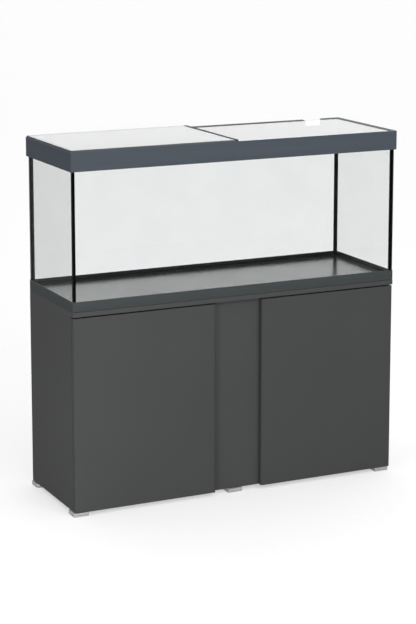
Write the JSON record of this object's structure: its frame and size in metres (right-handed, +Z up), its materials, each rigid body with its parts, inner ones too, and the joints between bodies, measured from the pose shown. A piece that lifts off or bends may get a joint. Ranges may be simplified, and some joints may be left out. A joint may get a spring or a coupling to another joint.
{
  "type": "aquarium on stand",
  "caption": "Rectangular glass fish tank with sliding glass covers in a dark plastic frame, on a dark two-door cabinet with low feet",
  "frame": {"origin": "on the floor, under the centre of the object's plan", "axes": "+Z up, +X to the right along the length, -Y towards the front where the doors are"},
  "size_m": [1.21, 0.41, 1.2226],
  "materials": {
    "frame_plastic": "satin anthracite",
    "pane_glass": "clear polished",
    "cover_glass": "clear polished",
    "silicone": "black semi-gloss",
    "cabinet_board": "anthracite melamine, satin",
    "door_board": "anthracite foil, satin",
    "back_board": "hardboard, satin",
    "foot_plastic": "silver grey satin",
    "hinge_steel": "nickel plated",
    "zinc_fitting": "zinc die cast",
    "screw_steel": "zinc plated",
    "bumper_rubber": "clear grey elastomer"
  },
  "bodies": {
    "stand_and_tank": {"front_top_rail": "frame_plastic", "front_bottom_rail": "frame_plastic", "front_pane": "pane_glass", "back_top_rail": "frame_plastic", "back_bottom_rail": "frame_plastic", "back_pane": "pane_glass", "left_top_rail": "frame_plastic", "left_bottom_rail": "frame_plastic", "left_pane": "pane_glass", "right_top_rail": "frame_plastic", "right_bottom_rail": "frame_plastic", "right_pane": "pane_glass", "base_pane": "pane_glass", "front_left_seal": "silicone", "front_right_seal": "silicone", "back_left_seal": "silicone", "back_right_seal": "silicone", "base_seal": "silicone", "centre_brace": "frame_plastic", "top_panel": "cabinet_board", "left_side_panel": "cabinet_board", "right_side_panel": "cabinet_board", "bottom_panel": "cabinet_board", "left_partition": "cabinet_board", "right_partition": "cabinet_board", "centre_panel": "cabinet_board", "left_shelf": "cabinet_board", "left_back_panel": "back_board", "centre_back_panel": "back_board", "right_back_panel": "back_board", "cam_fittings": "zinc_fitting", "shelf_pins": "screw_steel", "door_bumpers": "bumper_rubber", "left_hinge_arms": "hinge_steel", "right_hinge_arms": "hinge_steel", "hinge_plate_screws": "screw_steel", "foot_screws": "screw_steel", "front_left_foot": "foot_plastic", "front_middle_foot": "foot_plastic", "front_right_foot": "foot_plastic", "back_left_foot": "foot_plastic", "back_middle_foot": "foot_plastic", "back_right_foot": "foot_plastic"},
    "left_door": {"left_door": "door_board", "left_hinge_cups": "hinge_steel", "left_cup_screws": "screw_steel"},
    "right_door": {"right_door": "door_board", "right_hinge_cups": "hinge_steel", "right_cup_screws": "screw_steel"},
    "left_cover": {"left_cover": "cover_glass", "cover_grip": "frame_plastic"},
    "right_cover": {"right_cover": "cover_glass"}
  },
  "joints": [
    {"name": "left_door_hinge", "type": "hinge", "parent": "stand_and_tank", "child": "left_door", "pos_m": [-0.594, -0.193, 0.342], "axis": [0, 0, 1], "range_deg": [-105, 0]},
    {"name": "right_door_hinge", "type": "hinge", "parent": "stand_and_tank", "child": "right_door", "pos_m": [0.594, -0.193, 0.342], "axis": [0, 0, 1], "range_deg": [0, 105]},
    {"name": "left_cover_slide", "type": "slide", "parent": "stand_and_tank", "child": "left_cover", "axis": [1, 0, 0], "range_m": [0, 0.58]},
    {"name": "right_cover_slide", "type": "slide", "parent": "stand_and_tank", "child": "right_cover", "axis": [1, 0, 0], "range_m": [-0.56, 0]}
  ]
}
